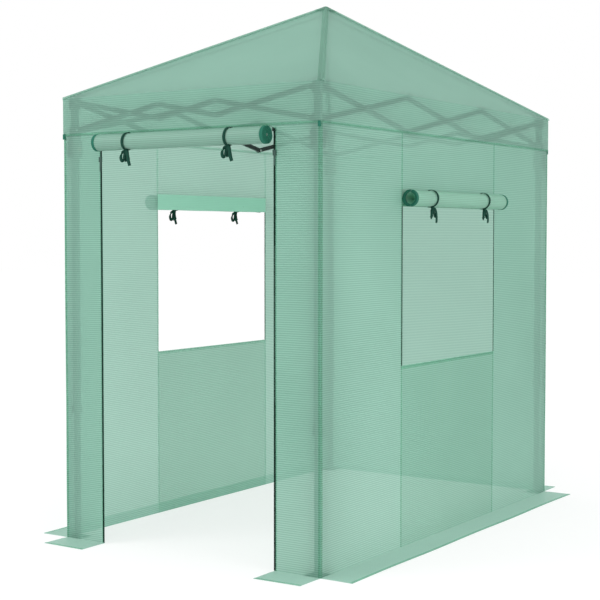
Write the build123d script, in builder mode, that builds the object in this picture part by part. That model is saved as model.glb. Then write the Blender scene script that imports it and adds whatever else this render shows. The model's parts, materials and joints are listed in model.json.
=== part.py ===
"""Mini pop up greenhouse: folding frame, telescopic legs and a sewn fabric cover.

Millimetres. Origin on the ground at the middle of the footprint, +Z up, the
door in the wall at -Y. Each node is one STEP file in parts/.
"""
from build123d import *
import math
import os

os.makedirs("parts", exist_ok=True)

# Overall sizes
WIDTH = 1200.0
DEPTH = 1960.0
EAVE = 1740.0
WALL_TOP = 1604.0
APEX = 2180.0
FABRIC = 0.5
SEAM = 0.1

# Doorway, windows and ground flaps
DOOR_HALF = 403.0
DOOR_TOP = 1588.0
WINDOW_SILL = 704.0
WINDOW_TOP = 1316.0
WINDOW_ROLL_Z = 1348.0
PANEL_SEAM = 405.0
FLAP = 130.0
VALANCE_HEM = 1594.0

# Rolled flaps and their straps
DOOR_ROLL_R = 33.0
DOOR_ROLL_Z = 1560.0
WINDOW_ROLL_R = 33.5
WINDOW_ROLL_HALF = 412.0
ROLL_SHELL = 2.0
ROLL_GAP = 2.5
DOOR_TIE = 240.0
WINDOW_TIE = 230.0

# Legs
POST_INSET = 30.0
LEG_OUTER = 22.0
LEG_INNER = 18.6
TUBE_WALL = 1.2
LEG_TOP = 1738.0
LEG_JOIN = 500.0
LEG_OVERLAP = 190.0
COLLAR = 28.0
PLATE = 64.0
PLATE_THICK = 3.0
PLATE_EDGE = 3.0
STAKE_R = 5.0

# Scissor trusses
PIVOT_OUT = 30.0
TRUSS_IN = 20.0
BAR_HIGH = 18.0
BAR_THICK = 9.0
LAYER = 5.0
PIVOT_TOP = 1725.0
ARM_RUN = 270.0
ARM_RISE = 0.2
PIN_R = 3.0
HOLE_R = 3.06
HEAD_R = 6.0
HEAD_THICK = 1.5

# Sliders and top brackets
SLEEVE = 31.0
SLEEVE_BORE = 23.0
SLIDER_BLOCK = 40.0
SLIDER_BELOW = 105.0
BLOCK_BELOW = 39.0
BUTTON_BELOW = 72.0
BUTTON_R = 9.0
EAR_THICK = 6.0
BRACKET_LOW = 1702.0
BRACKET_TOP = 1744.0

# Roof poles
POLE_R = 4.0
POLE_FOOT = (571.0, 940.0, 1748.0)
POLE_HEAD = (12.0, 19.8, 2139.0)
HUB_R = 26.0
HUB_LOW = 2124.0
HUB_TOP = 2154.0

HALF_W = WIDTH / 2
HALF_D = DEPTH / 2
POST_X = HALF_W - POST_INSET
POST_Y = HALF_D - POST_INSET
PIVOT_DROP = 2 * ARM_RUN * ARM_RISE
PIVOT_LOW = PIVOT_TOP - PIVOT_DROP
MID_Z = (PIVOT_TOP + PIVOT_LOW) / 2

CORNERS = {"fl": (-1, -1), "fr": (1, -1), "bl": (-1, 1), "br": (1, 1)}

# Each truss: centre of its plane, run direction, outward direction, half span
TRUSSES = {
    "front": (Vector(0, -(HALF_D - TRUSS_IN), 0), Vector(1, 0, 0), Vector(0, -1, 0), POST_X - PIVOT_OUT),
    "back": (Vector(0, HALF_D - TRUSS_IN, 0), Vector(1, 0, 0), Vector(0, 1, 0), POST_X - PIVOT_OUT),
    "left": (Vector(-(HALF_W - TRUSS_IN), 0, 0), Vector(0, 1, 0), Vector(-1, 0, 0), POST_Y - PIVOT_OUT),
    "right": (Vector(HALF_W - TRUSS_IN, 0, 0), Vector(0, 1, 0), Vector(1, 0, 0), POST_Y - PIVOT_OUT),
}


def save(builder, node):
    """Label the part and write its STEP file."""
    builder.part.label = node
    export_step(builder.part, "parts/" + node + ".step")


def slab(x0, x1, y0, y1, z0, z1, mode=Mode.ADD):
    """Add or cut a block between two opposite corners."""
    middle = ((x0 + x1) / 2, (y0 + y1) / 2, (z0 + z1) / 2)
    with Locations(middle):
        Box(abs(x1 - x0), abs(y1 - y0), abs(z1 - z0), mode=mode)


def square(cx, cy, side, z0, z1, mode=Mode.ADD):
    """Add or cut an upright square bar."""
    slab(cx - side / 2, cx + side / 2, cy - side / 2, cy + side / 2, z0, z1, mode)


def rod(start, end, radius, mode=Mode.ADD):
    """Add or cut a round bar between two points."""
    run = Vector(*end) - Vector(*start)
    with BuildSketch(Plane(origin=start, z_dir=run)) as end_face:
        Circle(radius)
    extrude(end_face.sketch, amount=run.length, mode=mode)


def on_truss(truss, u, z, w):
    """Point at run u, height z and distance w out from the truss plane."""
    centre, along, out, _ = TRUSSES[truss]
    return centre + along * u + out * w + Vector(0, 0, z)


def pin(truss, u, z, w_start, w_end):
    """Rivet shank from w_start to w_end with a head at w_end."""
    turn = math.copysign(1.0, w_end - w_start)
    start = on_truss(truss, u, z, w_start)
    end = on_truss(truss, u, z, w_end)
    cap = on_truss(truss, u, z, w_end - turn * HEAD_THICK)
    rod(start, end, PIN_R)
    rod(cap, end, HEAD_R)


def bar(truss, number, start, end, layer, holes, pins):
    """One hollow scissor bar between two pivots, given as (run, height)."""
    _, along, out, _ = TRUSSES[truss]
    span = math.hypot(end[0] - start[0], end[1] - start[1])
    middle = on_truss(truss, (start[0] + end[0]) / 2, (start[1] + end[1]) / 2, layer)
    lie = along * ((end[0] - start[0]) / span) + Vector(0, 0, (end[1] - start[1]) / span)
    flat = Plane(origin=middle, x_dir=lie, z_dir=out)
    far = -math.copysign(BAR_THICK / 2 + LAYER + 0.2 + HEAD_THICK, layer)
    back = math.copysign(BAR_THICK / 2 + LAYER, layer)
    with BuildPart() as tube:
        with BuildSketch(flat):
            SlotCenterToCenter(span, BAR_HIGH)
        extrude(amount=BAR_THICK / 2, both=True)
        with BuildSketch(flat):
            SlotCenterToCenter(span, BAR_HIGH - 2 * TUBE_WALL)
        extrude(amount=BAR_THICK / 2 - TUBE_WALL, both=True, mode=Mode.SUBTRACT)
        for u, z in holes:
            near = on_truss(truss, u, z, layer - BAR_THICK)
            beyond = on_truss(truss, u, z, layer + BAR_THICK)
            rod(near, beyond, HOLE_R, Mode.SUBTRACT)
        for u, z in pins:
            pin(truss, u, z, back, far)
    save(tube, truss + "_bar_" + str(number))


def ear(truss, side, z, bar_layer):
    """Ear and rivet that carry a bar lying in bar_layer, at one end of a truss."""
    _, along, out, half = TRUSSES[truss]
    level = -math.copysign(0.5 + EAR_THICK / 2, bar_layer)
    flat = Plane(origin=on_truss(truss, side * half, z, level), x_dir=along, z_dir=out)
    reach = PIVOT_OUT - SLEEVE_BORE / 2 - 1.0
    far = math.copysign(BAR_THICK / 2 + LAYER + 0.2 + HEAD_THICK, bar_layer)
    with BuildSketch(flat) as outline:
        Circle(BAR_HIGH / 2)
        with Locations((side * reach / 2, 0)):
            Rectangle(reach, BAR_HIGH)
    extrude(outline.sketch, amount=EAR_THICK / 2, both=True)
    pin(truss, side * half, z, level, far)


def corner_ears(corner, z, top):
    """Both ears of one corner: the bar layers swap between top and slider."""
    sx, sy = CORNERS[corner]
    first = "front" if sy < 0 else "back"
    second = "left" if sx < 0 else "right"
    for truss, side in ((first, sx), (second, sy)):
        inner_layer = (side < 0) == top
        ear(truss, side, z, -LAYER if inner_layer else LAYER)


def tie(centre, along, radius, drop, tail):
    """Strap round a roll: loop, knot and two hanging tails."""
    flat = Plane(origin=centre, z_dir=along)
    with BuildSketch(flat) as loop:
        Circle(radius + 1.4)
        Circle(radius + 0.2, mode=Mode.SUBTRACT)
    extrude(loop.sketch, amount=5.5, both=True)
    x, y, z = centre
    with Locations((x, y, z - radius - 5)):
        Box(14, 14, 9)
    for shift in (-4, 4):
        cx = x + shift * along[0]
        cy = y + shift * along[1]
        length = tail if shift > 0 else drop
        with Locations((cx, cy, z - radius - 8 - length / 2)):
            Box(8 * along[0] + 1.4 * along[1], 8 * along[1] + 1.4 * along[0], length)


def roof_face(a, b, c):
    """Thin triangle through three points, thickened outwards."""
    first = Vector(*a)
    normal = (Vector(*b) - first).cross(Vector(*c) - first)
    flat = Plane(origin=first, x_dir=Vector(*b) - first, z_dir=normal)
    corners = [flat.to_local_coords(Vector(*p)) for p in (a, b, c)]
    with BuildSketch(flat) as triangle:
        with BuildLine():
            Polyline([(p.X, p.Y) for p in corners], close=True)
        make_face()
    extrude(triangle.sketch, amount=FABRIC)


# Scissor bars: six to a truss, laid out from the middle of each side
for truss, (_, _, _, half) in TRUSSES.items():
    knee = (half - ARM_RUN) / 2
    rise = knee * ARM_RISE
    p_top = (-half, PIVOT_TOP)
    p_low = (-half, PIVOT_LOW)
    q_top = (half, PIVOT_TOP)
    q_low = (half, PIVOT_LOW)
    k1_top = (-knee, MID_Z + rise)
    k1_low = (-knee, MID_Z - rise)
    k2_top = (knee, MID_Z + rise)
    k2_low = (knee, MID_Z - rise)
    x1 = (-2 * knee, MID_Z)
    x2 = (0.0, MID_Z)
    x3 = (2 * knee, MID_Z)
    bar(truss, 1, p_top, k1_low, -LAYER, [p_top], [x1, k1_low])
    bar(truss, 2, p_low, k1_top, LAYER, [p_low, x1], [k1_top])
    bar(truss, 3, k1_low, k2_top, LAYER, [k1_low, x2], [k2_top])
    bar(truss, 4, k1_top, k2_low, -LAYER, [k1_top], [x2, k2_low])
    bar(truss, 5, k2_top, q_low, -LAYER, [k2_top, q_low], [x3])
    bar(truss, 6, k2_low, q_top, LAYER, [k2_low, x3, q_top], [])

# Legs, brackets, sliders and release buttons at the four corners
for corner, (sx, sy) in CORNERS.items():
    px = sx * POST_X
    py = sy * POST_Y

    with BuildPart() as leg_outer:
        square(px, py, LEG_OUTER, LEG_JOIN, LEG_TOP)
        square(px, py, COLLAR, LEG_JOIN, LEG_JOIN + 30)
        square(px, py, LEG_OUTER - 2 * TUBE_WALL, LEG_JOIN - 1, LEG_TOP + 1, Mode.SUBTRACT)
    save(leg_outer, "leg_outer_" + corner)

    edge_x = sx * (HALF_W - PLATE_EDGE)
    edge_y = sy * (HALF_D - PLATE_EDGE)
    stake_x = sx * (POST_X - 25)
    stake_y = sy * (POST_Y - 25)
    with BuildPart() as leg_inner:
        square(px, py, LEG_INNER, PLATE_THICK / 2, LEG_JOIN + LEG_OVERLAP)
        square(px, py, LEG_INNER - 2 * TUBE_WALL, PLATE_THICK, LEG_JOIN + LEG_OVERLAP + 1, Mode.SUBTRACT)
        slab(edge_x - sx * PLATE, edge_x, edge_y - sy * PLATE, edge_y, 0, PLATE_THICK)
        rod((stake_x, stake_y, -1), (stake_x, stake_y, PLATE_THICK + 1), STAKE_R, Mode.SUBTRACT)
    save(leg_inner, "leg_inner_" + corner)

    foot = (sx * POLE_FOOT[0], sy * POLE_FOOT[1], POLE_FOOT[2])
    head = (sx * POLE_HEAD[0], sy * POLE_HEAD[1], POLE_HEAD[2])
    rise = (Vector(*head) - Vector(*foot)).normalized()
    mouth = tuple(Vector(*foot) + rise * 32)
    tail = tuple(Vector(*foot) - rise * 4)
    with BuildPart() as bracket:
        square(px, py, SLEEVE, BRACKET_LOW, BRACKET_TOP)
        rod(tail, mouth, POLE_R + 3)
        corner_ears(corner, PIVOT_TOP, True)
        square(px, py, LEG_OUTER + 0.2, BRACKET_LOW - 1, LEG_TOP + 0.2, Mode.SUBTRACT)
        rod(foot, tuple(Vector(*mouth) + rise), POLE_R + 0.2, Mode.SUBTRACT)
    save(bracket, "bracket_" + corner)

    face_x = px - sx * SLIDER_BLOCK / 2
    button_z = PIVOT_LOW - BUTTON_BELOW
    with BuildPart() as slider:
        square(px, py, SLEEVE, PIVOT_LOW - SLIDER_BELOW, PIVOT_LOW + 14)
        square(px, py, SLIDER_BLOCK, PIVOT_LOW - SLIDER_BELOW, PIVOT_LOW - BLOCK_BELOW)
        corner_ears(corner, PIVOT_LOW, False)
        square(px, py, SLEEVE_BORE, PIVOT_LOW - SLIDER_BELOW - 1, PIVOT_LOW + 15, Mode.SUBTRACT)
        rod((face_x, py, button_z), (face_x + sx * 8, py, button_z), BUTTON_R + 0.3, Mode.SUBTRACT)
    save(slider, "slider_" + corner)

    with BuildPart() as button:
        rod((face_x - sx * 5, py, button_z), (face_x + sx * 3, py, button_z), BUTTON_R)
    save(button, "slider_button_" + corner)

# Roof poles and the hub they meet in
with BuildPart() as roof_poles:
    for sx, sy in CORNERS.values():
        foot = Vector(sx * POLE_FOOT[0], sy * POLE_FOOT[1], POLE_FOOT[2])
        head = Vector(sx * POLE_HEAD[0], sy * POLE_HEAD[1], POLE_HEAD[2])
        rise = (head - foot).normalized()
        rod(tuple(foot + rise), tuple(head), POLE_R)
save(roof_poles, "roof_poles")

with BuildPart() as roof_hub:
    rod((0, 0, HUB_LOW), (0, 0, HUB_TOP), HUB_R)
    for sx, sy in CORNERS.values():
        head = Vector(sx * POLE_HEAD[0], sy * POLE_HEAD[1], POLE_HEAD[2])
        foot = Vector(sx * POLE_FOOT[0], sy * POLE_FOOT[1], POLE_FOOT[2])
        fall = (foot - head).normalized()
        rod(tuple(head - fall * 0.5), tuple(head + fall * 60), POLE_R + 0.2, Mode.SUBTRACT)
save(roof_hub, "roof_hub")

# Front wall: two side strips, the header over the door and two ground flaps
with BuildPart() as front_wall:
    for side in (-1, 1):
        slab(side * DOOR_HALF, side * HALF_W, -HALF_D, -HALF_D + FABRIC, 0, WALL_TOP)
        slab(side * DOOR_HALF, side * HALF_W, -HALF_D - FLAP, -HALF_D - SEAM, 0, FABRIC)
    slab(SEAM - DOOR_HALF, DOOR_HALF - SEAM, -HALF_D, -HALF_D + FABRIC, DOOR_TOP, WALL_TOP)
save(front_wall, "front_wall")

# Back wall: one plain sheet and its ground flap
with BuildPart() as back_wall:
    slab(-HALF_W, HALF_W, HALF_D - FABRIC, HALF_D, 0, WALL_TOP)
    slab(-HALF_W, HALF_W, HALF_D + SEAM, HALF_D + FLAP, 0, FABRIC)
save(back_wall, "back_wall")

# Side walls: three sewn panels, the middle one open as a window
for name, sx in (("left", -1), ("right", 1)):
    face = sx * HALF_W
    inner = sx * (HALF_W - FABRIC)
    end = HALF_D - FABRIC - SEAM
    with BuildPart() as side_wall:
        for side in (-1, 1):
            slab(inner, face, side * PANEL_SEAM, side * end, 0, WALL_TOP)
        slab(inner, face, SEAM - PANEL_SEAM, PANEL_SEAM - SEAM, 0, WINDOW_SILL)
        slab(inner, face, SEAM - PANEL_SEAM, PANEL_SEAM - SEAM, WINDOW_TOP, WALL_TOP)
        slab(face + sx * SEAM, sx * (HALF_W + FLAP), -HALF_D, HALF_D, 0, FABRIC)
    save(side_wall, name + "_wall")

    roll_x = sx * (HALF_W + ROLL_GAP - 0.5 + WINDOW_ROLL_R)
    with BuildPart() as window_roll:
        rod((roll_x, -WINDOW_ROLL_HALF, WINDOW_ROLL_Z), (roll_x, WINDOW_ROLL_HALF, WINDOW_ROLL_Z), WINDOW_ROLL_R)
        rod(
            (roll_x, -WINDOW_ROLL_HALF, WINDOW_ROLL_Z),
            (roll_x, WINDOW_ROLL_HALF, WINDOW_ROLL_Z),
            WINDOW_ROLL_R - ROLL_SHELL,
            Mode.SUBTRACT,
        )
    save(window_roll, name + "_window_roll")

    with BuildPart() as window_ties:
        for side in (-1, 1):
            tie((roll_x, side * WINDOW_TIE, WINDOW_ROLL_Z), (0, 1, 0), WINDOW_ROLL_R, 28, 50)
    save(window_ties, name + "_window_ties")

# Door flap rolled up over the doorway, its straps, zips and zip pulls
roll_y = -(HALF_D + ROLL_GAP + DOOR_ROLL_R)
with BuildPart() as door_roll:
    rod((-DOOR_HALF, roll_y, DOOR_ROLL_Z), (DOOR_HALF, roll_y, DOOR_ROLL_Z), DOOR_ROLL_R)
    rod(
        (-DOOR_HALF, roll_y, DOOR_ROLL_Z),
        (DOOR_HALF, roll_y, DOOR_ROLL_Z),
        DOOR_ROLL_R - ROLL_SHELL,
        Mode.SUBTRACT,
    )
save(door_roll, "door_roll")

with BuildPart() as door_ties:
    for side in (-1, 1):
        tie((side * DOOR_TIE, roll_y, DOOR_ROLL_Z), (1, 0, 0), DOOR_ROLL_R, 28, 50)
save(door_ties, "door_ties")

with BuildPart() as door_zips:
    for side in (-1, 1):
        slab(
            side * (DOOR_HALF + 0.5),
            side * (DOOR_HALF + 9.5),
            -HALF_D - 0.6,
            -HALF_D - SEAM,
            2,
            DOOR_TOP - 4,
        )
save(door_zips, "door_zips")

for name, side in (("left", -1), ("right", 1)):
    track = side * (DOOR_HALF + 5)
    with BuildPart() as zip_pull:
        slab(track - 7, track + 7, -HALF_D - 6, -HALF_D - 1, 1488, 1508)
        slab(track - 4, track + 4, -HALF_D - 4.5, -HALF_D - 2.5, 1452, 1488)
    save(zip_pull, "door_zip_pull_" + name)

# Roof cover: four triangles and the hanging edge around the eaves
lip_x = HALF_W + 2
lip_y = HALF_D + 2
lip_z = EAVE + 1
tip = (0, 0, APEX - 1)
fl = (-lip_x, -lip_y, lip_z)
fr = (lip_x, -lip_y, lip_z)
br = (lip_x, lip_y, lip_z)
bl = (-lip_x, lip_y, lip_z)
with BuildPart() as roof_cover:
    for a, b in ((fl, fr), (fr, br), (br, bl), (bl, fl)):
        roof_face(a, b, tip)
    for side in (-1, 1):
        slab(-lip_x, lip_x, side * lip_y, side * (lip_y + FABRIC), VALANCE_HEM, lip_z - SEAM)
        slab(side * lip_x, side * (lip_x + FABRIC), SEAM - lip_y, lip_y - SEAM, VALANCE_HEM, lip_z - SEAM)
save(roof_cover, "roof_cover")
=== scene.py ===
"""Looks of the mini pop up greenhouse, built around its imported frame. Metres, the frame's axes."""
import bpy
import bmesh
import json
import math
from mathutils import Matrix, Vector

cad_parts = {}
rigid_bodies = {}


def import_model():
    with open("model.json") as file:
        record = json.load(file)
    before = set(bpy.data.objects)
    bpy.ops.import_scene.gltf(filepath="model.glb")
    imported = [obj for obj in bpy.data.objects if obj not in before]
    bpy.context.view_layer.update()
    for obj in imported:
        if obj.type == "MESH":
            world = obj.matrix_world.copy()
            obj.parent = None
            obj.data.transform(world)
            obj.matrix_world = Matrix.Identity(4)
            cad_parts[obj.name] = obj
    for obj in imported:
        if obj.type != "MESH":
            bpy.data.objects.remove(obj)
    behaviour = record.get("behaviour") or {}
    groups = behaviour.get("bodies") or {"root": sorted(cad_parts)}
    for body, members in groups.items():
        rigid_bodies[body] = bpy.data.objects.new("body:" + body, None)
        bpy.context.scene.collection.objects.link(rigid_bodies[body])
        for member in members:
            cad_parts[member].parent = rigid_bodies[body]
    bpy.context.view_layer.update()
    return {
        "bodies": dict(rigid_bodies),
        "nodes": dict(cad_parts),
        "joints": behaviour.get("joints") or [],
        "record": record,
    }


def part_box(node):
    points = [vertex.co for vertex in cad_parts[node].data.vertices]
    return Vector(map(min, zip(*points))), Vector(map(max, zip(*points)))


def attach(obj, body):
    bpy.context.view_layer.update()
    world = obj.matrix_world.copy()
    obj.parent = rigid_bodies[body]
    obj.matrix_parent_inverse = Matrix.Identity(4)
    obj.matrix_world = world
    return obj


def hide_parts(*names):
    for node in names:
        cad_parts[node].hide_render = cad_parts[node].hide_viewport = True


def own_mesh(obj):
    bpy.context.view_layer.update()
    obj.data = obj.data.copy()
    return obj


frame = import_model()

# ---------------------------------------------------------------- sizes

WALL_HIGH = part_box("back_wall")[1]
HALF_W = WALL_HIGH.x
HALF_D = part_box("left_wall")[1].y
WALL_TOP = WALL_HIGH.z - 0.007
FLAP = WALL_HIGH.y - HALF_D
ROOF_LOW, ROOF_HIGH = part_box("roof_cover")
APEX = ROOF_HIGH.z
HEM = ROOF_LOW.z
EAVE = 1.740
LIP_X = ROOF_HIGH.x
LIP_Y = ROOF_HIGH.y
DOOR_HALF = 0.403
DOOR_FLAP_HALF = DOOR_HALF - 0.007
DOOR_TOP = 1.588
PANEL_SEAM = 0.405
WINDOW_HALF = 0.403
WINDOW_SILL = 0.704
WINDOW_TOP = 1.316
CLOTH = 0.0006
FLOOR_GAP = 0.0006
DOOR_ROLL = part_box("door_roll")
DOOR_ROLL_R = (DOOR_ROLL[1].z - DOOR_ROLL[0].z) / 2
DOOR_ROLL_Z = (DOOR_ROLL[1].z + DOOR_ROLL[0].z) / 2
DOOR_ROLL_OUT = -(DOOR_ROLL[0].y + DOOR_ROLL[1].y) / 2 - HALF_D
WINDOW_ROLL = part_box("right_window_roll")
WINDOW_ROLL_R = (WINDOW_ROLL[1].z - WINDOW_ROLL[0].z) / 2
WINDOW_ROLL_Z = (WINDOW_ROLL[1].z + WINDOW_ROLL[0].z) / 2
WINDOW_ROLL_OUT = (WINDOW_ROLL[0].x + WINDOW_ROLL[1].x) / 2 - HALF_W
WINDOW_ROLL_HALF = WINDOW_ROLL[1].y - 0.008
DOOR_CORE = 0.006
WINDOW_CORE = 0.0225
DOOR_TIE = 0.240
WINDOW_TIE = 0.230
WINDOW_HEAD = WINDOW_ROLL_Z + 0.034

# Joints of the frame by name, with the front fold's pivot and a cross joint's place
JOINTS = {j["name"]: j for j in frame["joints"]}
FOLD = JOINTS["front_fold"]
PIVOT = Vector(FOLD["pos_m"])
CROSS = Vector(JOINTS["front_cross_1"]["pos_m"])


# ---------------------------------------------------------------- materials

def material(name):
    """New node material: returns it with its nodes, links and output."""
    made = bpy.data.materials.new(name)
    made.use_nodes = True
    tree = made.node_tree
    tree.nodes.clear()
    output = tree.nodes.new("ShaderNodeOutputMaterial")
    return made, tree.nodes, tree.links, output


def math_node(nodes, links, operation, a, b=None, c=None):
    """Math node with sockets or numbers as inputs."""
    node = nodes.new("ShaderNodeMath")
    node.operation = operation
    for socket, value in zip(node.inputs, (a, b, c)):
        if value is None:
            continue
        if isinstance(value, (int, float)):
            socket.default_value = value
        else:
            links.new(value, socket)
    return node.outputs[0]


def colour_mix(nodes, links, factor, a, b):
    """Mix of two colours, each a socket or a tuple."""
    node = nodes.new("ShaderNodeMix")
    node.data_type = "RGBA"
    for socket, value in ((node.inputs[0], factor), (node.inputs[6], a), (node.inputs[7], b)):
        if isinstance(value, (int, float)):
            socket.default_value = value
        elif isinstance(value, tuple):
            socket.default_value = (*value, 1.0)
        else:
            links.new(value, socket)
    return node.outputs[2]


def noise(nodes, links, vector, scale, detail=2.0):
    """Noise factor at a scale in features per metre."""
    node = nodes.new("ShaderNodeTexNoise")
    node.inputs["Scale"].default_value = scale
    node.inputs["Detail"].default_value = detail
    links.new(vector, node.inputs["Vector"])
    return node.outputs["Fac"]


def bump(nodes, links, height, distance, strength=1.0):
    """Bump normal from a height in 0..1."""
    node = nodes.new("ShaderNodeBump")
    node.inputs["Distance"].default_value = distance
    node.inputs["Strength"].default_value = strength
    links.new(height, node.inputs["Height"])
    return node.outputs[0]


RIB_PITCH = 0.0079
THREAD_PITCH = 0.0036


def film(name, clear, dark, light, glow, ribs=1.0, lit=0.5):
    """Reinforced film: see-through share, woven ribs across the cloth and finer threads along it."""
    made, nodes, links, output = material(name)
    uv = nodes.new("ShaderNodeUVMap")
    uv.uv_map = "cloth"
    split = nodes.new("ShaderNodeSeparateXYZ")
    links.new(uv.outputs[0], split.inputs[0])
    along, across = split.outputs[0], split.outputs[1]
    place = nodes.new("ShaderNodeTexCoord").outputs["Object"]
    wobble = math_node(nodes, links, "MULTIPLY", noise(nodes, links, place, 3.0), 0.004)
    bent = math_node(nodes, links, "ADD", across, wobble)
    turn = math_node(nodes, links, "MULTIPLY", bent, 2 * math.pi / RIB_PITCH)
    wave = math_node(nodes, links, "MULTIPLY_ADD", math_node(nodes, links, "SINE", turn), 0.5, 0.5)
    rib = math_node(nodes, links, "POWER", wave, 1.6)
    thread_turn = math_node(nodes, links, "MULTIPLY", along, 2 * math.pi / THREAD_PITCH)
    thread = math_node(nodes, links, "MULTIPLY_ADD", math_node(nodes, links, "SINE", thread_turn), 0.5, 0.5)
    ridges = math_node(nodes, links, "MULTIPLY", rib, ribs)
    weave = math_node(nodes, links, "MULTIPLY_ADD", thread, 0.12, ridges)
    cloud = noise(nodes, links, place, 2.2, 3.0)
    woven = math_node(nodes, links, "MULTIPLY", weave, 0.75)
    tone = math_node(nodes, links, "MULTIPLY_ADD", cloud, 0.35, woven)
    colour = colour_mix(nodes, links, tone, dark, light)
    relief = bump(nodes, links, weave, 0.0004, 0.6)

    face = nodes.new("ShaderNodeBsdfPrincipled")
    face.inputs["Roughness"].default_value = 0.42
    face.inputs["Specular IOR Level"].default_value = 0.35
    links.new(colour, face.inputs["Base Color"])
    links.new(relief, face.inputs["Normal"])
    through = nodes.new("ShaderNodeBsdfTranslucent")
    links.new(colour_mix(nodes, links, tone, tuple(c * 0.72 for c in glow), glow), through.inputs["Color"])
    links.new(relief, through.inputs["Normal"])
    body = nodes.new("ShaderNodeMixShader")
    body.inputs[0].default_value = lit
    links.new(face.outputs[0], body.inputs[1])
    links.new(through.outputs[0], body.inputs[2])
    surface = body.outputs[0]
    if clear > 0:
        hole = nodes.new("ShaderNodeBsdfTransparent")
        hole.inputs[0].default_value = (0.80, 0.96, 0.88, 1.0)
        see = nodes.new("ShaderNodeMixShader")
        share = math_node(nodes, links, "MULTIPLY_ADD", weave, 0.30 * clear, 0.85 * clear)
        links.new(share, see.inputs[0])
        links.new(surface, see.inputs[1])
        links.new(hole.outputs[0], see.inputs[2])
        surface = see.outputs[0]
    inside = nodes.new("ShaderNodeBsdfTransparent")
    once = nodes.new("ShaderNodeMixShader")
    links.new(nodes.new("ShaderNodeNewGeometry").outputs["Backfacing"], once.inputs[0])
    links.new(surface, once.inputs[1])
    links.new(inside.outputs[0], once.inputs[2])
    links.new(once.outputs[0], output.inputs[0])
    return made


def solid(name, dark, light, roughness, metallic=0.0, grain=400.0, depth=0.0002, shine=0.5):
    """Opaque material with mottled colour and fine grain in relief."""
    made, nodes, links, output = material(name)
    place = nodes.new("ShaderNodeTexCoord").outputs["Object"]
    fine = noise(nodes, links, place, grain)
    broad = noise(nodes, links, place, 14.0, 4.0)
    tone = math_node(nodes, links, "MULTIPLY_ADD", fine, 0.4, math_node(nodes, links, "MULTIPLY", broad, 0.6))
    shader = nodes.new("ShaderNodeBsdfPrincipled")
    shader.inputs["Metallic"].default_value = metallic
    shader.inputs["Specular IOR Level"].default_value = shine
    links.new(colour_mix(nodes, links, tone, dark, light), shader.inputs["Base Color"])
    rough = math_node(nodes, links, "MULTIPLY_ADD", broad, 0.12, roughness - 0.06)
    links.new(rough, shader.inputs["Roughness"])
    links.new(bump(nodes, links, fine, depth, 0.5), shader.inputs["Normal"])
    links.new(shader.outputs[0], output.inputs[0])
    return made


def tape(name, dark, light, pitch=0.0016):
    """Woven tape or webbing: fine chevron ribs in colour and relief."""
    made, nodes, links, output = material(name)
    place = nodes.new("ShaderNodeTexCoord").outputs["Object"]
    split = nodes.new("ShaderNodeSeparateXYZ")
    links.new(place, split.inputs[0])
    flat = math_node(nodes, links, "ADD", split.outputs[0], split.outputs[1])
    turn = 2 * math.pi / pitch
    first = math_node(nodes, links, "SINE", math_node(nodes, links, "MULTIPLY", flat, turn))
    second = math_node(nodes, links, "SINE", math_node(nodes, links, "MULTIPLY", split.outputs[2], turn))
    crossed = math_node(nodes, links, "MULTIPLY", first, second)
    weave = math_node(nodes, links, "MULTIPLY_ADD", crossed, 0.5, 0.5)
    shader = nodes.new("ShaderNodeBsdfPrincipled")
    shader.inputs["Roughness"].default_value = 0.85
    shader.inputs["Specular IOR Level"].default_value = 0.15
    links.new(colour_mix(nodes, links, weave, dark, light), shader.inputs["Base Color"])
    links.new(bump(nodes, links, weave, 0.0003, 0.7), shader.inputs["Normal"])
    links.new(shader.outputs[0], output.inputs[0])
    return made


FILM_DARK = (0.180, 0.385, 0.300)
FILM_LIGHT = (0.405, 0.690, 0.570)
FILM_GLOW = (0.390, 0.625, 0.530)
wall_film = film("wall_film", 0.14, FILM_DARK, FILM_LIGHT, FILM_GLOW)
panel_film = film("panel_film", 0.15, (0.190, 0.430, 0.325), (0.430, 0.750, 0.605), (0.200, 0.400, 0.310))
roof_film = film("roof_film", 0.13, FILM_DARK, FILM_LIGHT, FILM_GLOW, ribs=0.45)
valance_film = film("valance_film", 0.21, FILM_DARK, FILM_LIGHT, FILM_GLOW, ribs=0.8)
seam_film = film("seam_film", 0.80, (0.170, 0.385, 0.300), (0.330, 0.580, 0.470), FILM_GLOW, ribs=0.6)
band_film = film("band_film", 0.40, (0.170, 0.385, 0.300), (0.330, 0.580, 0.470), FILM_GLOW, ribs=0.6)
rolled_film = film("rolled_film", 0.0, (0.215, 0.430, 0.335), (0.380, 0.620, 0.510), (0.52, 0.78, 0.68),
                   ribs=1.0, lit=0.40)
# Painted glow: lighter opaque film with no translucency, laid inside the wall over each window roll. It stands
# in for the light that the roll shades off the wall film.
painted_glow_film = film("painted_glow_film", 0.0, (0.490, 0.850, 0.690), (0.560, 0.930, 0.770), FILM_GLOW, ribs=0.5, lit=0.0)
tube_film = film("tube_film", 0.0, (0.430, 0.760, 0.600), (0.640, 0.920, 0.800), (0.78, 0.98, 0.90),
                 ribs=0.8, lit=0.70)
strap_tape = tape("strap_tape", (0.004, 0.034, 0.022), (0.012, 0.075, 0.050))
zip_tape = tape("zip_tape", (0.006, 0.040, 0.025), (0.016, 0.085, 0.055), 0.0012)
roll_edge = tape("roll_edge_tape", (0.012, 0.110, 0.070), (0.035, 0.200, 0.135), 0.0014)
zip_coil = solid("zip_coil", (0.002, 0.014, 0.009), (0.006, 0.032, 0.021), 0.75, shine=0.15)
black_paint = solid("black_paint", (0.010, 0.010, 0.011), (0.026, 0.026, 0.028), 0.38,
                    grain=900.0, depth=0.0001)
black_plastic = solid("black_plastic", (0.012, 0.012, 0.013), (0.030, 0.030, 0.031), 0.55, grain=1500.0)
pole_black = solid("pole_black", (0.015, 0.015, 0.015), (0.040, 0.040, 0.040), 0.35, grain=300.0)
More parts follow.
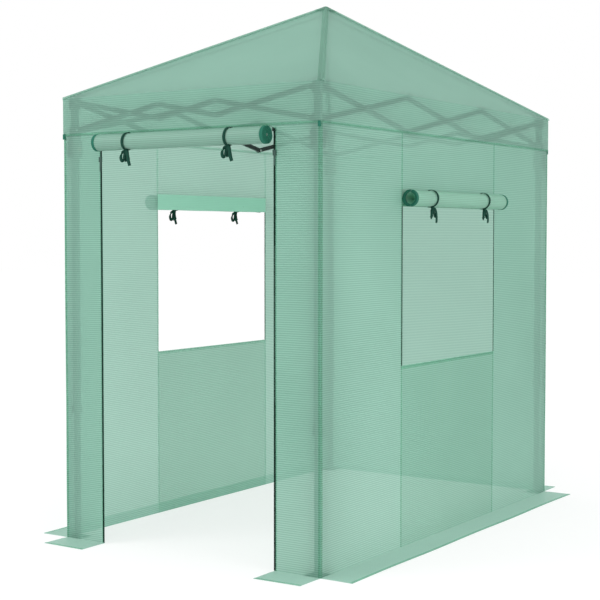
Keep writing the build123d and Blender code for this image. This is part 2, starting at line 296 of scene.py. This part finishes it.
rivet_steel = solid("rivet_steel", (0.42, 0.42, 0.41), (0.66, 0.66, 0.65), 0.32, metallic=0.6, grain=700.0)
pull_paint = solid("pull_paint", (0.006, 0.040, 0.028), (0.016, 0.080, 0.056), 0.4, grain=900.0)
release_red = solid("release_red", (0.52, 0.10, 0.10), (0.74, 0.20, 0.19), 0.35, grain=800.0)


# ---------------------------------------------------------------- mesh tools

def steps(start, end, pitch):
    """Evenly spaced values from start to end, no further apart than pitch."""
    count = max(1, math.ceil(abs(end - start) / pitch))
    return [start + (end - start) * i / count for i in range(count + 1)]


class Cloth:
    """Patches sewn into one sheet, with cloth coordinates in metres for the weave."""

    def __init__(self):
        self.verts = []
        self.faces = []
        self.coords = []
        self.slots = []

    def patch(self, point, us, vs, slot=0):
        """Grid of quads: point(u, v) is the place of cloth coordinate (u, v)."""
        base = len(self.verts)
        wide = len(us)
        for v in vs:
            for u in us:
                self.verts.append(point(u, v))
        for j in range(len(vs) - 1):
            for i in range(wide - 1):
                a = base + j * wide + i
                self.faces.append((a, a + 1, a + wide + 1, a + wide))
                self.coords.append(((us[i], vs[j]), (us[i + 1], vs[j]),
                                    (us[i + 1], vs[j + 1]), (us[i], vs[j + 1])))
                self.slots.append(slot)

    def piece(self, name, materials, weld=True, thickness=CLOTH):
        """The finished object: welded, with the cloth's thickness."""
        mesh = bpy.data.meshes.new(name)
        mesh.from_pydata(self.verts, [], self.faces)
        layer = mesh.uv_layers.new(name="cloth")
        flat = [c for face in self.coords for corner in face for c in corner]
        layer.data.foreach_set("uv", flat)
        mesh.polygons.foreach_set("material_index", self.slots)
        for m in materials:
            mesh.materials.append(m)
        if weld:
            work = bmesh.new()
            work.from_mesh(mesh)
            bmesh.ops.remove_doubles(work, verts=work.verts, dist=0.00005)
            work.to_mesh(mesh)
            work.free()
        made = bpy.data.objects.new(name, mesh)
        bpy.context.scene.collection.objects.link(made)
        if thickness:
            shell = made.modifiers.new("thickness", "SOLIDIFY")
            shell.thickness = thickness
            shell.offset = 0.0
        return made


def mesh_piece(name, verts, faces, materials, slots=None, smooth=False):
    """Object from plain lists."""
    mesh = bpy.data.meshes.new(name)
    mesh.from_pydata(verts, [], faces)
    for m in materials:
        mesh.materials.append(m)
    if slots:
        mesh.polygons.foreach_set("material_index", slots)
    if smooth:
        mesh.polygons.foreach_set("use_smooth", [True] * len(mesh.polygons))
    made = bpy.data.objects.new(name, mesh)
    bpy.context.scene.collection.objects.link(made)
    return made


def curve_through(points, per_span=6):
    """Smooth path through points (Catmull-Rom)."""
    padded = [points[0] * 2 - points[1], *points, points[-1] * 2 - points[-2]]
    path = []
    for a, b, c, d in zip(padded, padded[1:], padded[2:], padded[3:]):
        for k in range(per_span):
            t = k / per_span
            path.append(0.5 * (2 * b + (c - a) * t + (2 * a - 5 * b + 4 * c - d) * t * t
                               + (3 * b - a - 3 * c + d) * t * t * t))
    path.append(points[-1].copy())
    return path


class Solid:
    """Closed bands, tubes and blocks gathered into one piece."""

    def __init__(self):
        self.verts = []
        self.faces = []

    def tube(self, path, width_way, half_width, half_thick, sides=4, taper=1.0, closed=False):
        """Band or tube along a path: a flattened section, wide along width_way."""
        base = len(self.verts)
        count = len(path)
        for i, p in enumerate(path):
            if closed:
                ahead = path[(i + 1) % count] - path[i - 1]
            else:
                ahead = path[min(i + 1, count - 1)] - path[max(i - 1, 0)]
            ahead.normalize()
            wide = (width_way - ahead * width_way.dot(ahead)).normalized()
            thick = ahead.cross(wide)
            size = 1.0 if i < count - 2 or closed else taper
            for k in range(sides):
                angle = 2 * math.pi * (k + 0.5) / sides
                stretch = math.sqrt(2) if sides == 4 else 1.0
                self.verts.append(p + wide * (half_width * stretch * math.cos(angle) * size)
                                  + thick * (half_thick * stretch * math.sin(angle)))
        last = count if closed else count - 1
        for i in range(last):
            for k in range(sides):
                a = base + i * sides + k
                b = base + i * sides + (k + 1) % sides
                c = base + ((i + 1) % count) * sides + (k + 1) % sides
                d = base + ((i + 1) % count) * sides + k
                self.faces.append((a, b, c, d))
        if not closed:
            self.faces.append(tuple(base + k for k in reversed(range(sides))))
            self.faces.append(tuple(base + (count - 1) * sides + k for k in range(sides)))

    def block(self, centre, x_way, y_way, z_way):
        """Box from its centre and three half-size vectors."""
        base = len(self.verts)
        for sx in (-1, 1):
            for sy in (-1, 1):
                for sz in (-1, 1):
                    self.verts.append(centre + x_way * sx + y_way * sy + z_way * sz)
        for f in ((0, 1, 3, 2), (4, 6, 7, 5), (0, 4, 5, 1), (2, 3, 7, 6), (0, 2, 6, 4), (1, 5, 7, 3)):
            self.faces.append(tuple(base + k for k in f))

    def dome(self, centre, out, radius, height, sides=16):
        """Rivet head: a low dome standing on a short rim."""
        base = len(self.verts)
        side = out.orthogonal().normalized()
        other = out.cross(side)
        rings = ((1.0, 0.0), (1.0, 0.35), (0.86, 0.72), (0.5, 0.95))
        for r, h in rings:
            for k in range(sides):
                angle = 2 * math.pi * k / sides
                spoke = side * math.cos(angle) + other * math.sin(angle)
                self.verts.append(centre + spoke * (radius * r) + out * (height * h))
        self.verts.append(centre + out * height)
        for j in range(len(rings) - 1):
            for k in range(sides):
                a = base + j * sides + k
                b = base + j * sides + (k + 1) % sides
                self.faces.append((a, b, b + sides, a + sides))
        top = base + (len(rings) - 1) * sides
        for k in range(sides):
            self.faces.append((top + k, top + (k + 1) % sides, base + len(rings) * sides))
        self.faces.append(tuple(base + k for k in reversed(range(sides))))

    def piece(self, name, stuff, smooth=False):
        return mesh_piece(name, self.verts, self.faces, [stuff], smooth=smooth)


def fold_with(piece, body, axis):
    """Fabric that rides on a corner of the frame, with a mesh of its own."""
    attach(piece, body)
    if axis == "x":
        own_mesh(piece)
    else:
        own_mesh(piece)


def gather_both_ways(piece):
    """Roof pieces: ride on the front-left corner, and follow the right-hand corners across."""
    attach(piece, "corner_fl")
    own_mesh(piece)
    group = piece.vertex_groups.new(name="across")
    for v in piece.data.vertices:
        group.add([v.index], min(1.0, max(0.0, (v.co.x + LIP_X) / (2 * LIP_X))), "REPLACE")
    hook = piece.modifiers.new("follow_right", "HOOK")
    hook.object = frame["bodies"]["corner_fr"]
    hook.vertex_group = "across"
    piece.modifiers.move(len(piece.modifiers) - 1, 0)


def slack(u, v, size=0.0012):
    """Faint tension waves of a taut sheet."""
    broad = math.sin(5.1 * u + 2.3 * v + 0.4) * math.sin(3.7 * v + 1.1)
    return size * (broad + 0.5 * math.sin(11.0 * u - 4.0 * v))


# ---------------------------------------------------------------- camera, light, floor

camera_data = bpy.data.cameras.new("camera")
camera_data.lens = 81.86
camera_data.sensor_width = 36.0
camera = bpy.data.objects.new("camera", camera_data)
camera.location = (3.1506, -4.9778, 1.2050)
camera.rotation_euler = (math.radians(90 - 2.71), 0, math.radians(33.41))
bpy.context.scene.collection.objects.link(camera)
bpy.context.scene.camera = camera

world = bpy.data.worlds.new("studio")
world.use_nodes = True
world.node_tree.nodes["Background"].inputs[0].default_value = (1.0, 1.0, 1.0, 1.0)
world.node_tree.nodes["Background"].inputs[1].default_value = 1.0
bpy.context.scene.world = world
bpy.context.scene.view_settings.view_transform = "Standard"
bpy.context.scene.cycles.transparent_max_bounces = 40
bpy.context.scene.cycles.max_bounces = 10


def soft_light(name, place, target, size, power):
    """Large square lamp aimed at a point."""
    data = bpy.data.lights.new(name, "AREA")
    data.size = size
    data.energy = power
    lamp = bpy.data.objects.new(name, data)
    lamp.location = place
    lamp.rotation_mode = "QUATERNION"
    lamp.rotation_quaternion = (Vector(target) - Vector(place)).to_track_quat("-Z", "Y")
    bpy.context.scene.collection.objects.link(lamp)


soft_light("key", (-3.5, -5.0, 4.5), (0, 0, 1.0), 3.0, 120)
soft_light("fill", (5.0, -1.0, 4.0), (0, 0, 1.0), 3.0, 60)

floor_paint, nodes, links, output = material("floor_paint")
glow = nodes.new("ShaderNodeEmission")
glow.inputs["Color"].default_value = (1.0, 1.0, 1.0, 1.0)
glow.inputs["Strength"].default_value = 0.66
matte = nodes.new("ShaderNodeBsdfDiffuse")
matte.inputs["Color"].default_value = (0.35, 0.35, 0.35, 1.0)
both = nodes.new("ShaderNodeAddShader")
links.new(glow.outputs[0], both.inputs[0])
links.new(matte.outputs[0], both.inputs[1])
links.new(both.outputs[0], output.inputs[0])
FLOOR = 30.0
floor = mesh_piece("floor", [(-FLOOR, -FLOOR, 0), (FLOOR, -FLOOR, 0), (FLOOR, FLOOR, 0), (-FLOOR, FLOOR, 0)],
                   [(0, 1, 2, 3)], [floor_paint])


# ---------------------------------------------------------------- walls

PLEAT = 0.0125
ROWS = 0.08
SEAM_W = 0.008
HEM_W = 0.012
BAND_OFF = 0.0009


def wall_point(side, out=0.0):
    """Place of cloth coordinate (u, v) on a wall: u along it, v up from the ground; below 0 is the flap."""
    def point(u, v):
        lift = slack(u, v) * min(1.0, max(0.0, v) * 3) * min(1.0, max(0.0, WALL_TOP - v) * 3)
        if v >= 0:
            offset, height = out + lift, max(v, FLOOR_GAP)
        else:
            ripple = 0.0010 + 0.0010 * math.sin(9 * u + 1.7) * (-v / FLAP)
            offset, height = out - v, FLOOR_GAP + ripple * min(1.0, -v / 0.03) + out
        if side == "front":
            return Vector((u, -HALF_D - offset, height))
        if side == "back":
            return Vector((u, HALF_D + offset, height))
        if side == "left":
            return Vector((-HALF_W - offset, u, height))
        return Vector((HALF_W + offset, u, height))
    return point


def up_wall(low=0.0, high=WALL_TOP):
    return steps(low, high, ROWS)


def flap_rows(outer=-FLAP):
    return steps(outer, -0.004, 0.03) + [0.0]


def strip(cloth, side, u0, u1, v0, v1, slot=1, out=BAND_OFF):
    """Extra layer of cloth: a hem, seam or band."""
    cloth.patch(wall_point(side, out), steps(u0, u1, PLEAT), steps(v0, v1, ROWS), slot)


front = Cloth()
for sign in (-1, 1):
    a, b = sorted((sign * DOOR_HALF, sign * HALF_W))
    front.patch(wall_point("front"), steps(a, b, PLEAT), up_wall(0, DOOR_TOP) + up_wall(DOOR_TOP, WALL_TOP)[1:])
    front.patch(wall_point("front"), steps(a, b, PLEAT), flap_rows())
front.patch(wall_point("front"), steps(-DOOR_HALF, DOOR_HALF, PLEAT), up_wall(DOOR_TOP, WALL_TOP))
front_wall = front.piece("front_wall_cloth", [wall_film])

trim = Cloth()
for sign in (-1, 1):
    edge = sign * HALF_W
    door = sign * DOOR_HALF
    strip(trim, "front", *sorted((edge, edge - sign * 0.010)), 0.002, WALL_TOP, 0)
    strip(trim, "front", *sorted((door, door + sign * HEM_W)), 0.002, DOOR_TOP, 0)
    strip(trim, "front", *sorted((door, edge)), -FLAP, -FLAP + 0.012, 0)
front_trim = trim.piece("front_wall_hems", [seam_film])

back = Cloth()
back.patch(wall_point("back"), steps(-HALF_W, HALF_W, PLEAT), up_wall())
back.patch(wall_point("back"), steps(-HALF_W, HALF_W, PLEAT), flap_rows())
back_wall = back.piece("back_wall_cloth", [wall_film])
trim = Cloth()
for sign in (-1, 1):
    strip(trim, "back", *sorted((sign * HALF_W, sign * (HALF_W - 0.010))), 0.002, WALL_TOP, 0)
strip(trim, "back", -HALF_W, HALF_W, -FLAP, -FLAP + 0.012, 0)
back_trim = trim.piece("back_wall_hems", [seam_film])

side_walls = {}
side_trims = {}
for side in ("left", "right"):
    cloth = Cloth()
    point = wall_point(side)
    for sign in (-1, 1):
        a, b = sorted((sign * PANEL_SEAM, sign * HALF_D))
        cloth.patch(point, steps(a, b, PLEAT), up_wall())
    middle = steps(-PANEL_SEAM, PANEL_SEAM, PLEAT)
    cloth.patch(point, middle, up_wall(0, WINDOW_SILL), 1)
    cloth.patch(point, middle, up_wall(WINDOW_TOP, WALL_TOP))
    cloth.patch(point, steps(-HALF_D, HALF_D, PLEAT), flap_rows())
    side_walls[side] = cloth.piece(side + "_wall_cloth", [wall_film, panel_film])
    trim = Cloth()
    for sign in (-1, 1):
        seam = sign * PANEL_SEAM
        edge = sign * HALF_D
        strip(trim, side, seam - SEAM_W / 2, seam + SEAM_W / 2, 0.002, WALL_TOP, 0)
        strip(trim, side, *sorted((edge, edge - sign * 0.010)), 0.002, WALL_TOP, 0)
    strip(trim, side, -WINDOW_HALF, WINDOW_HALF, WINDOW_SILL - HEM_W, WINDOW_SILL, 0)
    strip(trim, side, -WINDOW_HALF, WINDOW_HALF, WINDOW_TOP, WINDOW_TOP + HEM_W, 0)
    strip(trim, side, -HALF_D, HALF_D, -FLAP, -FLAP + 0.012, 0)
    side_trims[side] = trim.piece(side + "_wall_hems", [seam_film])

for piece in (front_wall, front_trim):
    fold_with(piece, "corner_fl", "x")
for piece in (back_wall, back_trim):
    fold_with(piece, "corner_bl", "x")
for side, body in (("left", "corner_fl"), ("right", "corner_fr")):
    # Band of painted glow just inside each side wall, from the window top to the top of the roll: it brightens
    # the wall film where the roll shades it.
    head = Cloth()
    head.patch(wall_point(side, -0.0014), steps(-PANEL_SEAM, PANEL_SEAM, PLEAT),
               steps(WINDOW_TOP, WINDOW_HEAD, 0.02))
    painted_glow_sheet = head.piece(side + "_window_painted_glow_band", [painted_glow_film])
    for piece in (side_walls[side], side_trims[side], painted_glow_sheet):
        fold_with(piece, body, "y")
    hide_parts(side + "_wall")
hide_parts("front_wall")
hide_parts("back_wall")


# ---------------------------------------------------------------- roof

TIP = Vector((0, 0, APEX - 0.001))
CORNERS = [Vector((sx * LIP_X, sy * LIP_Y, EAVE + 0.001)) for sx, sy in ((-1, -1), (1, -1), (1, 1), (-1, 1))]
ROOF_SAG = 0.007
VALANCE = EAVE - HEM


def roof_side(cloth, a, b, slot=0, columns=48, rows=26):
    """One triangle of the roof and its hanging edge, from corner a to corner b."""
    run = b - a
    foot = (a + b) / 2
    slant = (foot - TIP).length
    normal = run.cross(TIP - a).normalized()
    if normal.z < 0:
        normal = -normal
    outward = Vector((normal.x, normal.y, 0)).normalized()

    def slope(u, v):
        r = v / slant
        c = 0.5 if r < 1e-6 else u / (run.length * r) + 0.5
        belly = ROOF_SAG * 4 * c * (1 - c) * math.sin(math.pi * min(1.0, r)) ** 0.8
        return TIP + (a + run * c - TIP) * r - normal * belly

    base = len(cloth.verts)
    for j in range(rows + 1):
        r = j / rows
        for i in range(columns + 1):
            c = i / columns
            cloth.verts.append(slope((c - 0.5) * run.length * r, r * slant))
    for j in range(rows):
        for i in range(columns):
            k = base + j * (columns + 1) + i
            n = k + columns + 1
            r0, r1 = j / rows, (j + 1) / rows
            c0, c1 = i / columns - 0.5, (i + 1) / columns - 0.5
            near = [(c0 * run.length * r0, r0 * slant), (c1 * run.length * r0, r0 * slant)]
            far = [(c1 * run.length * r1, r1 * slant), (c0 * run.length * r1, r1 * slant)]
            if j == 0:
                cloth.faces.append((k, n + 1, n))
                cloth.coords.append((near[0], far[0], far[1]))
            else:
                cloth.faces.append((k, k + 1, n + 1, n))
                cloth.coords.append((*near, *far))
            cloth.slots.append(slot)

    def hanging(u, v):
        c = u / run.length + 0.5
        drop = v - slant
        wave = 0.0016 * math.sin(14 * u + 0.6) * (drop / VALANCE) * 4 * c * (1 - c)
        return a + run * c - Vector((0, 0, drop)) + outward * wave

    us = [(i / columns - 0.5) * run.length for i in range(columns + 1)]
    cloth.patch(hanging, us, [slant + d for d in steps(0, VALANCE, 0.02)], 1)
    return outward


roof = Cloth()
for a, b in zip(CORNERS, CORNERS[1:] + CORNERS[:1]):
    roof_side(roof, a, b)
roof_cover = roof.piece("roof_cover_cloth", [roof_film, valance_film])

SLEEVE_HALF = 0.0135
sleeves = Cloth()
for k, corner in enumerate(CORNERS):
    along = (TIP - corner).normalized()
    ways = []
    for other in (CORNERS[k - 1], CORNERS[(k + 1) % 4]):
        way = other - corner
        ways.append((way - along * way.dot(along)).normalized())
    lift = -(ways[0] + ways[1]).normalized()

    def sleeve(u, v, corner=corner, along=along, ways=ways, lift=lift):
        way = ways[0] if u < 0 else ways[1]
        rise = 0.0012 + 0.0048 * math.cos(math.pi / 2 * min(1.0, abs(u) / SLEEVE_HALF)) ** 0.7
        return corner + along * v + way * abs(u) + lift * rise

    cross = [SLEEVE_HALF * s for s in (-1, -0.7, -0.4, -0.15, 0.0001, 0.15, 0.4, 0.7, 1)]
    sleeves.patch(sleeve, cross, steps(0.0, (TIP - corner).length - 0.002, 0.05))
roof_sleeves = sleeves.piece("roof_hip_sleeves", [band_film])

trim = Cloth()
for a, b in zip(CORNERS, CORNERS[1:] + CORNERS[:1]):
    run = b - a
    outward = Vector((run.y, -run.x, 0)).normalized()

    def hem(u, v, a=a, run=run, outward=outward):
        c = u / run.length + 0.5
        drop = VALANCE - v
        wave = 0.0016 * math.sin(14 * u + 0.6) * (drop / VALANCE) * 4 * c * (1 - c)
        return a + run * c - Vector((0, 0, drop)) + outward * (wave + 0.0009)

    us = steps(-run.length / 2, run.length / 2, 0.0125)
    trim.patch(hem, us, [0.0, 0.004, 0.008])
valance_hem = trim.piece("roof_valance_hem", [seam_film], weld=False)

cap = Cloth()
CAP_REACH = 0.055
for a, b in zip(CORNERS, CORNERS[1:] + CORNERS[:1]):
    normal = (b - a).cross(TIP - a).normalized()
    normal = normal if normal.z > 0 else -normal
    first = (a - TIP).normalized() * CAP_REACH
    second = (b - TIP).normalized() * CAP_REACH

    def flap(u, v, first=first, second=second, normal=normal):
        return TIP + (first * (1 - u) + second * u) * v + normal * 0.006

    cap.patch(flap, [0.0, 0.25, 0.5, 0.75, 1.0], [0.02, 0.4, 0.7, 1.0])
roof_cap = cap.piece("roof_apex_patch", [band_film])

for piece in (roof_cover, roof_sleeves, valance_hem, roof_cap):
    gather_both_ways(piece)
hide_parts("roof_cover")

tabs = Solid()
for corner in CORNERS:
    out = Vector((math.copysign(0.0, corner.x), math.copysign(1.0, corner.y), 0))
    foot = Vector((corner.x - math.copysign(0.006, corner.x), corner.y + out.y * 0.001, HEM - 0.002))
    tabs.block(foot, Vector((0.005, 0, 0)), out * 0.003, Vector((0, 0, 0.010)))
corner_tabs = tabs.piece("roof_corner_tabs", roll_edge)
gather_both_ways(corner_tabs)

# Roof poles in the sleeves, and their hub
HUB_LOW, HUB_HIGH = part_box("roof_hub")
poles = Solid()
hub_mid = (HUB_LOW.z + HUB_HIGH.z) / 2
for sx in (-1, 1):
    for sy in (-1, 1):
        foot = Vector((sx * 0.571, sy * 0.940, 1.748))
        head = Vector((sx * 0.012, sy * 0.0198, hub_mid))
        path = [foot.lerp(head, t / 24) for t in range(25)]
        poles.tube(path, Vector((0, 0, 1)), 0.004, 0.004, sides=10)
roof_poles = poles.piece("roof_pole_set", pole_black, smooth=True)
gather_both_ways(roof_poles)
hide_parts("roof_poles")

hub = Solid()
hub_ring = [Vector((0, 0, HUB_LOW.z + (HUB_HIGH.z - HUB_LOW.z) * t)) for t in (0, 0.12, 0.5, 0.88, 1)]
hub.tube(hub_ring, Vector((1, 0, 0)), HUB_HIGH.x, HUB_HIGH.x, sides=32, taper=0.9)
roof_hub = hub.piece("roof_hub_body", black_plastic)
gather_both_ways(roof_hub)
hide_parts("roof_hub")


# ---------------------------------------------------------------- rolled flaps and ties

def on_roll(kind):
    """Maps (along, out, up) beside a wall to the frame: out from the wall's face, up from the ground."""
    if kind == "door":
        return lambda a, o, z: Vector((a, -HALF_D - o, z))
    if kind == "left":
        return lambda a, o, z: Vector((-HALF_W - o, a, z))
    return lambda a, o, z: Vector((HALF_W + o, a, z))


def pinch(a, ties, radius):
    """Roll radius along its length: drawn in at the ties, with a little unevenness."""
    drawn = sum(math.exp(-((a - t) / 0.016) ** 2) for t in ties)
    return radius * (1 - 0.05 * drawn - 0.012 * (1 + math.sin(23 * a + 0.8)) / 2)


def roll_up(name, kind, half, out, up, radius, core, length, top, ties, look):
    """Flap of the given length rolled on itself: leaves the wall at its top edge and winds inwards."""
    place = on_roll(kind)
    cloth = Cloth()
    outer = radius - 0.0008
    turns = (length - (top - up)) / (math.pi * (outer + core))
    total = 2 * math.pi * turns

    def winding(a, angle):
        share = angle / total
        r = pinch(a, ties, outer) - (outer - core) * share
        return place(a, out - r * math.cos(angle), up - r * math.sin(angle))

    lengths = steps(-half, half, 0.02)
    angles = steps(0.0, total, math.radians(11))
    cloth.patch(lambda u, v: winding(u, v / radius), lengths, [x * radius for x in angles])

    def drop(a, v):
        share = v / (top - up)
        hang = winding(a, 0.0)
        head = place(a, 0.0012, top)
        return hang.lerp(head, share)

    cloth.patch(drop, lengths, [(top - up) * t / 4 for t in range(5)])
    roll = cloth.piece(name, [look], thickness=0.0009)
    roll.data.polygons.foreach_set("use_smooth", [True] * len(roll.data.polygons))

    edges = Solid()
    for sign in (-1, 1):
        spiral = []
        for angle in steps(0.0, total, math.radians(11)):
            r = outer - (outer - core) * angle / total + 0.0004
            spiral.append(place(sign * (half - 0.004), out - r * math.cos(angle), up - r * math.sin(angle)))
        pitch = (outer - core) / turns
        edges.tube(spiral, place(1, 0, 0) - place(0, 0, 0), 0.0065, min(0.0011, pitch * 0.36))
    tape_ends = edges.piece(name + "_zip_edges", roll_edge)
    return roll, tape_ends


def tie_up(name, kind, spots, out, up, radius):
    """Straps round a roll, each tied in a bow under it."""
    place = on_roll(kind)
    solid_ties = Solid()
    along = place(1, 0, 0) - place(0, 0, 0)
    for n, spot in enumerate(spots):
        def at(a, o, z, spot=spot):
            return place(spot + a, out + o, up - radius + z)
        r = radius * 0.96 + 0.0016
        ring = []
        for i in range(40):
            angle = 2 * math.pi * i / 40
            ring.append(place(spot + 0.003 * math.sin(angle),
                              out + r * math.cos(angle), up + r * math.sin(angle)))
        solid_ties.tube(ring, along, 0.0052, 0.0011, closed=True)
        knot = [at(-0.007, 0.006, -0.001), at(-0.003, 0.008, 0.001), at(0.003, 0.008, 0.000),
                at(0.007, 0.006, -0.003)]
        solid_ties.tube(curve_through(knot), Vector((0, 0, 1)), 0.0060, 0.0050, sides=10)
        flip = 1 if n % 2 == 0 else 0.94
        loop = [at(-0.003, 0.008, -0.004), at(-0.014 * flip, 0.013, -0.010), at(-0.020, 0.015, -0.026),
                at(-0.017, 0.013, -0.040), at(-0.010, 0.010, -0.034), at(-0.006, 0.009, -0.016),
                at(-0.001, 0.008, -0.004)]
        solid_ties.tube(curve_through(loop), Vector((0, 0, 1)).lerp(along, 0.4), 0.0068, 0.0030, sides=8)
        second = [at(0.002, 0.009, -0.003), at(0.010 * flip, 0.014, -0.008), at(0.015, 0.016, -0.022),
                  at(0.016, 0.014, -0.036), at(0.011, 0.011, -0.030), at(0.004, 0.009, -0.012),
                  at(0.001, 0.008, -0.004)]
        solid_ties.tube(curve_through(second), Vector((0, 0, 1)).lerp(along, 0.5), 0.0066, 0.0028, sides=8)
        long_tail = [at(0.004, 0.009, -0.004), at(0.013, 0.016, -0.016), at(0.017, 0.017, -0.036),
                     at(0.022, 0.014, -0.060 * flip)]
        solid_ties.tube(curve_through(long_tail), along, 0.0078, 0.0020, sides=8)
        short_tail = [at(-0.002, 0.008, -0.005), at(-0.006, 0.006, -0.020), at(-0.003, 0.005, -0.044 * flip)]
        solid_ties.tube(curve_through(short_tail), along, 0.0066, 0.0018, sides=8)
    piece = solid_ties.piece(name, strap_tape, smooth=True)
    return piece


door_spots = (-DOOR_TIE - 0.004, DOOR_TIE - 0.008)
window_spots = (-WINDOW_TIE - 0.007, WINDOW_TIE - 0.006)
door_roll, door_edges = roll_up("door_flap_roll", "door", DOOR_FLAP_HALF, DOOR_ROLL_OUT, DOOR_ROLL_Z,
                                DOOR_ROLL_R, DOOR_CORE, DOOR_TOP, DOOR_TOP, door_spots, rolled_film)
door_ties = tie_up("door_tie_straps", "door", door_spots, DOOR_ROLL_OUT, DOOR_ROLL_Z, DOOR_ROLL_R)
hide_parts("door_roll")
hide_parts("door_ties")
for piece in (door_roll, door_edges, door_ties):
    fold_with(piece, "corner_fl", "x")
for side, body in (("left", "corner_fl"), ("right", "corner_fr")):
    roll, edges = roll_up(side + "_window_flap_roll", side, WINDOW_ROLL_HALF, WINDOW_ROLL_OUT, WINDOW_ROLL_Z,
                          WINDOW_ROLL_R, WINDOW_CORE, WINDOW_HEAD - WINDOW_SILL, WINDOW_HEAD,
                          window_spots, tube_film)
    ties = tie_up(side + "_window_tie_straps", side, window_spots, WINDOW_ROLL_OUT, WINDOW_ROLL_Z,
                  WINDOW_ROLL_R)
    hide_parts(side + "_window_roll")
    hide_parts(side + "_window_ties")
    for piece in (roll, edges, ties):
        fold_with(piece, body, "y")


# Stitches that hold the window straps, on the inner face of the side walls
for side, body in (("left", "corner_fl"), ("right", "corner_fr")):
    place = on_roll(side)
    marks = Solid()
    for spot in window_spots:
        for step_z in (-0.006, -0.002, 0.002, 0.006):
            marks.block(place(spot, -0.0010, WINDOW_ROLL_Z - 0.003 + step_z),
                        place(0.0022, 0, 0) - place(0, 0, 0),
                        place(0, 0.0006, 0) - place(0, 0, 0), Vector((0, 0, 0.0016)))
    stitches = marks.piece(side + "_window_tie_stitches", strap_tape)
    fold_with(stitches, body, "y")


# ---------------------------------------------------------------- zips

def zip_line(cloth, kind, edge, inward, low, high, half_width):
    """Half a zip along an upright edge: its tape and the row of teeth."""
    place = on_roll(kind)
    along = place(1, 0, 0) - place(0, 0, 0)
    out = place(0, 1, 0) - place(0, 0, 0)
    up = Vector((0, 0, 1))
    tape_mid = edge - inward * half_width
    path = [place(tape_mid, 0.0014, z) for z in steps(low, high, ROWS)]
    cloth.tube(path, along, half_width, 0.0005)
    for z in steps(low + 0.003, high - 0.003, 0.0042):
        cloth.block(place(tape_mid + inward * half_width * 0.6, 0.0024, z),
                    along * 0.0014, out * 0.0009, up * 0.0013)


zips = Solid()
for sign in (-1, 1):
    zip_line(zips, "door", sign * DOOR_HALF, -sign, 0.003, DOOR_TOP - 0.004, 0.0037)
door_zips = zips.piece("door_zip_halves", zip_coil)
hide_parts("door_zips")
fold_with(door_zips, "corner_fl", "x")
for side, body in (("left", "corner_fl"), ("right", "corner_fr")):
    zips = Solid()
    for sign in (-1, 1):
        zip_line(zips, side, sign * WINDOW_HALF, -sign, WINDOW_SILL, WINDOW_TOP, 0.0017)
    window_zips = zips.piece(side + "_window_zip_halves", zip_coil)
    fold_with(window_zips, body, "y")


# ---------------------------------------------------------------- frame finish and rivets

LOOKS = {"frame_black": black_paint, "joint_plastic": black_plastic, "button_red": release_red,
         "zip_metal": pull_paint}
slots = {s["node"]: s["material_slot"] for s in frame["record"]["subparts"]}
for name, node in frame["nodes"].items():
    look = LOOKS.get(slots[name])
    if look and not node.hide_render:
        node.data.materials.clear()
        node.data.materials.append(look)

LAYERS_OUT = 0.0112
rivets = {}
for name, joint in JOINTS.items():
    if joint["type"] != "hinge":
        continue
    spot = Vector(joint["pos_m"])
    if abs(joint["axis"][1]):
        out = Vector((0, math.copysign(1, spot.y), 0))
    else:
        out = Vector((math.copysign(1, spot.x), 0, 0))
    rivets.setdefault(joint["child"], []).append((spot, out))
for body, spots in sorted(rivets.items()):
    heads = Solid()
    for spot, out in spots:
        for way in (-1, 1):
            heads.dome(spot + out * (way * LAYERS_OUT), out * way, 0.0058, 0.0022)
    heads_piece = heads.piece("rivets_" + body, rivet_steel, smooth=True)
    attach(heads_piece, body)
